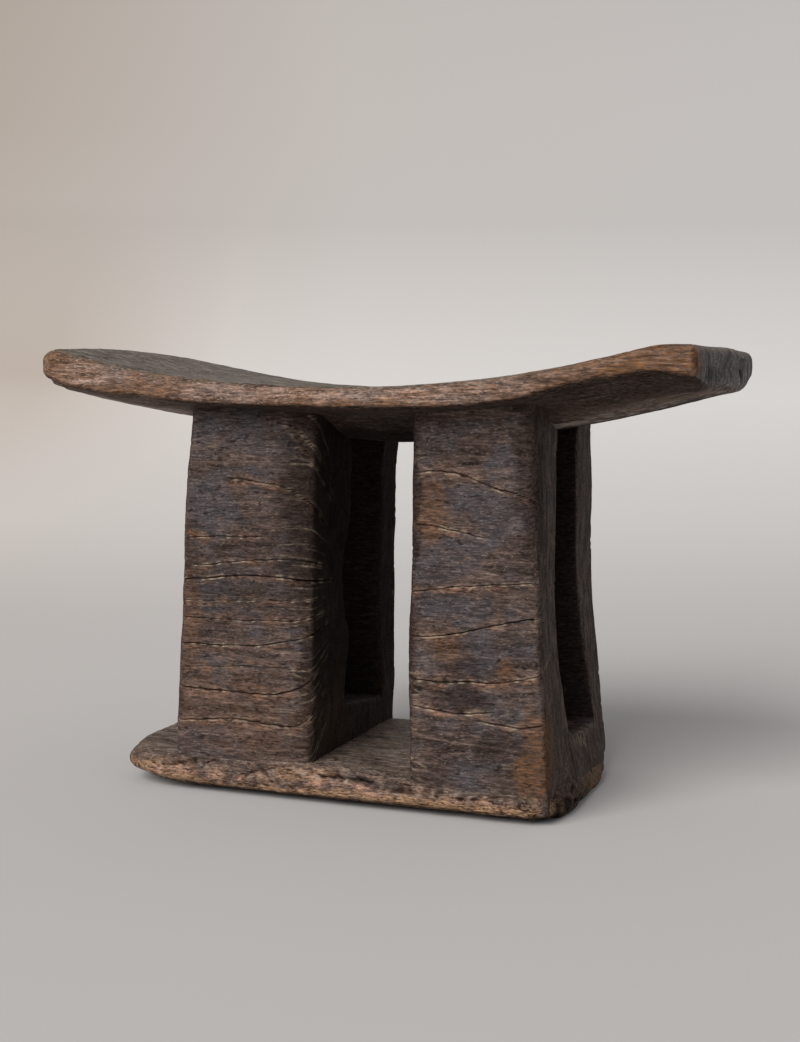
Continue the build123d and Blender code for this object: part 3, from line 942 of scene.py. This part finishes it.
columnLook = {"wave": 0.8, "cuts": 0.30, "ripple": 0.17, "pits": 0.12, "nicks": 0.5, "wear": 0.5,
              "grain": (8.0, 1.9, 1.9)}
leftLook = {
    "seed": 200, "shade": columnPaintedShade(1.0, 0.30, 0.30),
    "patches": {
        # painted shade down the front wall's rounded right corner and down its rounded left edge, which turn
        # away from the light; the middle blotch is soot
        "soot": [((-29, -70, 195), (31, 28, 105), 0.85), ((-30, -72, 70), (12, 16, 80), 0.8),
                 ((-137, -73, 160), (9, 22, 140), 0.8), ((-80, -73, 148), (66, 30, 34), 0.35)],
        # painted deep shade on the inner side that faces the other column
        "smoked": [((-27, -20, 205), (6, 60, 90), 0.45)],
        "rust": [((-80, -73, 55), (70, 30, 36), 0.3), ((-122, -73, 120), (10, 30, 40), 0.5),
                 ((-118, -73, 176), (14, 30, 4), 0.8), ((-30, -40, 42), (12, 30, 26), 0.5)],
    },
}
rightLook = {
    "seed": 300, "shade": columnPaintedShade(0.35, 0.80, 0.2),
    "patches": {
        # painted shade under the seat at the head, down the rounded left corner and in the hollow at the
        # right corner; the blotches lower down the front are soot
        "soot": [((60, -73, 240), (40, 14, 14), 0.25), ((78, -73, 98), (20, 30, 8), 0.5),
                 ((75, -73, 78), (24, 30, 10), 0.7), ((100, -73, 48), (20, 30, 12), 0.5),
                 ((38, -73, 205), (9, 14, 70), 0.9), ((37, -73, 100), (7, 14, 70), 0.8),
                 ((120, -68, 215), (15, 16, 70), 0.7)],
        "rust": [((53, -73, 200), (14, 30, 22), 0.6), ((124, -73, 44), (14, 30, 38), 0.85),
                 ((105, -73, 98), (8, 30, 12), 0.6), ((62, -73, 112), (10, 30, 12), 0.5)],
        "scratched": [((132, 16, 39), (8, 36, 8), 0.45)],
    },
    # chopped fibres under the slot's foot
    "bores": [((132, 0, 41), (4, 1.0, 3.5), 0.4), ((132, 8, 39), (4, 0.9, 3.5), 0.4),
              ((132, 15, 38), (4, 1.1, 3.0), 0.5), ((132, 23, 37), (4, 0.9, 3.5), 0.4),
              ((132, 31, 37), (4, 1.1, 3.0), 0.4)],
}
walls = [
    ("frontLeftLeg", "front_left_leg", leftColumn, False, leftChecks + leftFine, leftLook),
    ("backLeftLeg", "back_left_leg", leftColumn, True, backFine, leftLook),
    ("frontRightLeg", "front_right_leg", rightColumn, False, rightChecks + rightFine, rightLook),
    ("backRightLeg", "back_right_leg", rightColumn, True, backFine, rightLook),
]
for name, nodeName, column, rear, checks, ownLook in walls:
    look = {**columnLook, **ownLook, "checks": checks}
    buildPiece(name, nodeName, "leg_wood", *makeWall(column, rear), look, legWood)
sills = [("leftSill", "left_sill", leftColumn, leftLook), ("rightSill", "right_sill", rightColumn, rightLook)]
for name, nodeName, column, ownLook in sills:
    buildPiece(name, nodeName, "leg_wood", *makeSill(column), {**columnLook, **ownLook}, legWood)


base = {
    "left": -177.6, "right": 138.2, "endZones": (30.0, 20.0), "stations": (24, 262),
    "frontOut": [(-180, -52), (-178, -62), (-174, -70), (-168, -76), (-160, -79.6), (-150, -81.6),
        (-140, -82.6), (-95, -82.4), (5, -82.8), (100, -82.6), (112, -82.2), (121, -80.6), (127, -78),
        (131, -74.6), (135, -68.5), (137.3, -61), (138.2, -52)],
    "backOut": [(-180, 42), (-178, 54), (-173, 63), (-164, 70), (-155, 75), (-143, 79), (-125, 81.5),
        (-55, 82.4), (65, 82), (113, 81.4), (124, 78.5), (133, 72), (135.8, 66), (138.2, 48)],
    # where the underside meets the floor, and how far it lifts off it
    "contact": [(-180, -46), (-168, -51), (-154, -56), (-145, -58), (-134, -60), (-102, -61), (-4, -62),
        (44, -61), (85, -60), (111, -58), (123, -56), (131, -52), (136, -46), (138.2, -40)],
    "lift": [(-180, 9), (-176, 8.8), (-172, 8.4), (-168, 7.6), (-163, 6.6), (-158, 5.4), (-152, 4),
        (-145, 2.6), (-136, 1.2), (-126, 0), (132, 0), (136, 0.5), (138.2, 1.6)],
    "top": [(-180, 22), (-177, 24.6), (-172, 26), (-160, 25.2), (-145, 24.2), (-135, 24.6), (-120, 26.4),
        (5, 27), (125, 27), (131, 25), (135, 19), (138.2, 14)],
    "creaseZ": [(-180, 18), (-172, 22.5), (-150, 25), (-132, 26.4), (-120, 25), (-107, 24), (-84, 24),
        (-61, 25), (-39, 26.4), (-10, 26), (4, 24), (18, 21.8), (39, 21.5), (60, 19.8), (84, 18),
        (115, 19.5), (132, 20), (138.2, 13)],
    "ridgeZ": [(-180, 18), (-165, 16.5), (-142, 15.5), (-126, 15), (-111, 13), (-80, 11.6), (-35, 13.6),
        (-7, 12.2), (63, 13), (103, 16), (125, 15), (138.2, 11)],
}


def makeBase():
    x = crowd(base["left"], base["right"], base["endZones"], *base["stations"])
    read = {key: along(table, x, 1.2) for key, table in base.items() if isinstance(table, list)}
    creaseIn = along([(-180, 6.0), (-160, 8.0), (-140, 7.5), (125, 6.8), (138.2, 5.0)], x, 3.0)
    front, back, lift, ridge, top = (read[key] for key in ("frontOut", "backOut", "lift", "ridgeZ", "top"))
    frontFoot = np.maximum(read["contact"], front + 6.0)
    backFoot = np.minimum(-read["contact"] + 4.0, back - 6.0)
    roll = lift * 0.75 + 5.5                                # the rolled lower edge
    corners = [
        (front + creaseIn, read["creaseZ"]), (front, ridge), (front + 1.6, roll), (frontFoot, lift),
        (backFoot, lift), (back - 1.6, roll), (back, ridge + 1.0), (back - 7.0, top - 2.0),
        (back - 22.0, top), (front + 22.0, top),
    ]
    cuts = [1.6, 3.2, 4.0, 4.5, 4.5, 4.0, 4.0, 4.0, 8.0, 8.0]
    arcs = [4, 6, 6, 5, 4, 4, 5, 4, 3, 4]
    counts = [16, 10, 12, 34, 6, 6, 8, 10, 74, 18]
    loop, kinds, spots = roundedLoop(corners, cuts, arcs, counts)
    edge = cornerNearness(loop, kinds, spots, [0.0, 5.0, 4.0, 0.0, 0.0, 4.0, 5.0, 0.0, 0.0, 0.0])
    return withX(x, loop), edge


def basePaintedShade(points, normals):
    # painted shade below, and at the right end as dark as the column above it
    right = smooth(0.3, 0.8, normals[:, 0]) * smooth(6.0, 14.0, points[:, 2])
    return np.maximum(0.8 * smooth(0.3, 0.8, -normals[:, 2]), 0.45 * right * (points[:, 0] > 100.0))


def baseRot(points):
    # where the right end is eaten away
    return smooth(104.0, 130.0, points[:, 0]) * smooth(25.0, 17.0, points[:, 2])


baseLook = {
    "seed": 500, "wave": 0.5, "cuts": 0.3, "ripple": 0.20, "pits": 0.3, "nicks": 0.4, "wear": 0.7,
    "checks": [checkLine(*check, face=-baseFace) for check in [
        ([(0, 17.5), (18, 18), (59, 19.4), (70, 19), (92, 16.5)], 0.6, 0.4, 0.5, 0.0, 9),
        ([(-150, 15), (-130, 14.5), (-105, 15.5), (-80, 14)], 0.5, 0.4, 0.4, 0.0, 7),
        ([(-92, 18), (-60, 17), (-34, 17.5), (-8, 15), (20, 14.5)], 0.6, 0.4, 0.5, 0.0, 8),
        ([(30, 12.5), (70, 13.5), (108, 12.5)], 0.7, 0.45, 0.4, 0.1, 7),
    ]] + fineChecks(40, 41, (-170, 130), (-0.99, -0.80), (20, 70), (0.15, 0.5), 0.5, -baseFace, 20.0),
    "patches": {
        "soot": [((-150, 20, 27), (26, 50, 8), 0.4), ((-90, -80, 21), (80, 8, 5), 0.45),
                 ((20, -82, 19.5), (70, 8, 5), 0.65), ((85, -82, 21), (60, 8, 5.5), 0.65)],
        "rust": [((70, -84, 7), (90, 14, 7.5), 1.0), ((-35, -80, 20), (30, 9, 5), 0.7),
                 ((-145, -80, 10), (40, 14, 10), 0.7), ((137, 30, 8), (10, 50, 9), 0.55),
                 ((-60, -83, 5), (90, 12, 5), 0.9), ((126, -70, 12), (16, 16, 12), 0.6)],
    },
    "shade": basePaintedShade, "rot": baseRot,
    "bores": [((119.4, -83, 13.3), (5, 5, 3.5), 1.0, "knot"), ((138, -32, 10), (5, 6, 6), 1.3, "knot"),
              ((136.7, 20, 6.5), (4, 4, 3), 1.5), ((138, 5, 8), (4, 3, 3), 1.2),
              ((136.8, 60, 10.9), (4, 4, 4), 2.0), ((-44.2, -82, 18.8), (1.3, 3.0, 1.3), 2.0)],
}
buildPiece("slabBase", "base", "base_wood", *makeBase(), baseLook, baseWood, ends=(8, 2.2))


studio = {
    "yaw": 20.74, "tilt": 5.10, "eye": (0.35978, -0.93864, 0.27329), "lens": 49.807,
    "flatReach": 0.75, "bend": 2.1, "height": 4.2,
    "sunFrom": (-0.26, -0.76, 0.60), "sunStrength": 3.1, "sunAngle": 42.0, "skyStrength": 0.44,
    "fadeTop": 1.3,                 # the paper's painted shading runs up to here
    # the paper's colour at the left, in the middle and at the right: at the floor, and higher up; its changes
    # paint light and shade
    "lowPaper": [(0.60, 0.53, 0.49), (0.59, 0.57, 0.56), (0.54, 0.53, 0.52)],
    "highPaper": [(0.43, 0.35, 0.285), (0.60, 0.562, 0.54), (0.60, 0.58, 0.575)],
}


def paperFinish():
    # Pale paper, with painted shade that makes it a little darker and warmer towards the left and the top
    material, tree, where = startFinish("paperBackdrop")
    turned = addNode(tree, "ShaderNodeVectorRotate", {"Vector": where, "Angle": -math.radians(studio["yaw"])},
                     rotation_type="Z_AXIS")
    parts = addNode(tree, "ShaderNodeSeparateXYZ", {0: turned.outputs[0]})
    sideways, upward = (
        addNode(tree, "ShaderNodeMapRange", {"Value": parts.outputs[axis], "From Min": low, "From Max": high})
        .outputs[0] for axis, low, high in ((0, -1.6, 1.4), (2, 0.0, 0.9)))
    height = sums(tree, "DIVIDE", parts.outputs[2], studio["fadeTop"])
    low = ramp(tree, sideways, list(zip((0.0, 0.5, 1.0), studio["lowPaper"])))
    high = ramp(tree, sideways, list(zip((0.0, 0.5, 1.0), studio["highPaper"])))
    colour = blend(tree, upward, low, high)
    # a painted shade patch on the left at middle height
    paintedLeftShade = times(tree, ramp(tree, sideways, [(0.30, 1.0), (0.42, 0.0)]),
                 ramp(tree, height, [(0.06, 0.0), (0.24, 0.75), (0.55, 0.0)]))
    colour = blend(tree, paintedLeftShade, colour, (0.40, 0.34, 0.29))
    # painted falloff of light: darker at the floor and higher up the wall
    fade = ramp(tree, height, [(0.0, 0.82), (0.05, 0.88), (0.2, 0.96), (0.5, 0.72), (1.0, 0.71)])
    colour = blend(tree, 1.0, colour, fade, "MULTIPLY")
    endFinish(tree, {"Base Color": colour, "Roughness": 0.9, "Specular IOR Level": 0.1})
    return material


def makeBackdrop():
    # One smooth sheet: floor, a wide curve, and a wall, turned to face the camera
    yaw = math.radians(studio["yaw"])
    reach, curve = studio["flatReach"], studio["bend"]
    profile = [(deep, 0.0) for deep in np.linspace(-3.2, reach, 22)]
    for angle in np.linspace(0.0, math.pi / 2, 40)[1:]:
        profile.append((reach + curve * math.sin(angle), curve - curve * math.cos(angle)))
    profile += [(reach + curve, up) for up in np.linspace(curve, studio["height"], 10)[1:]]
    wide = np.linspace(-3.6, 3.6, 40)
    verts = [(side * math.cos(yaw) - deep * math.sin(yaw), side * math.sin(yaw) + deep * math.cos(yaw), up)
             for deep, up in profile for side in wide]
    count = len(wide)
    faces = [(i * count + j, i * count + j + 1, (i + 1) * count + j + 1, (i + 1) * count + j)
             for i in range(len(profile) - 1) for j in range(count - 1)]
    mesh = bpy.data.meshes.new("backdrop")
    mesh.from_pydata(verts, [], faces)
    mesh.polygons.foreach_set("use_smooth", np.ones(len(faces), bool))
    mesh.materials.append(paperFinish())
    sheet = bpy.data.objects.new("backdrop", mesh)
    bpy.context.collection.objects.link(sheet)


makeBackdrop()

lampData = bpy.data.lights.new("windowLight", "SUN")
lampData.energy = studio["sunStrength"]
lampData.angle = math.radians(studio["sunAngle"])
lampData.color = (1.0, 0.985, 0.96)
lamp = bpy.data.objects.new("windowLight", lampData)
fromX, fromY, fromZ = studio["sunFrom"]
lamp.location = (fromX * 3, fromY * 3, fromZ * 3)
lamp.rotation_euler = (math.atan2(math.hypot(fromX, fromY), fromZ), 0.0, math.atan2(fromX, -fromY))
bpy.context.collection.objects.link(lamp)

world = bpy.data.worlds.new("studioWorld")
world.use_nodes = True
sky = world.node_tree.nodes["Background"]
sky.inputs["Color"].default_value = (0.96, 0.98, 1.0, 1.0)
sky.inputs["Strength"].default_value = studio["skyStrength"]
bpy.context.scene.world = world

cameraData = bpy.data.cameras.new("camera")
cameraData.sensor_fit = "VERTICAL"
cameraData.sensor_height = 36.0
cameraData.lens = studio["lens"]
cameraData.clip_start = 0.02
camera = bpy.data.objects.new("camera", cameraData)
camera.location = studio["eye"]
camera.rotation_euler = (math.radians(90.0 - studio["tilt"]), 0.0, math.radians(studio["yaw"]))
bpy.context.collection.objects.link(camera)
bpy.context.scene.camera = camera
bpy.context.scene.view_settings.view_transform = "Standard"
print("studio set")
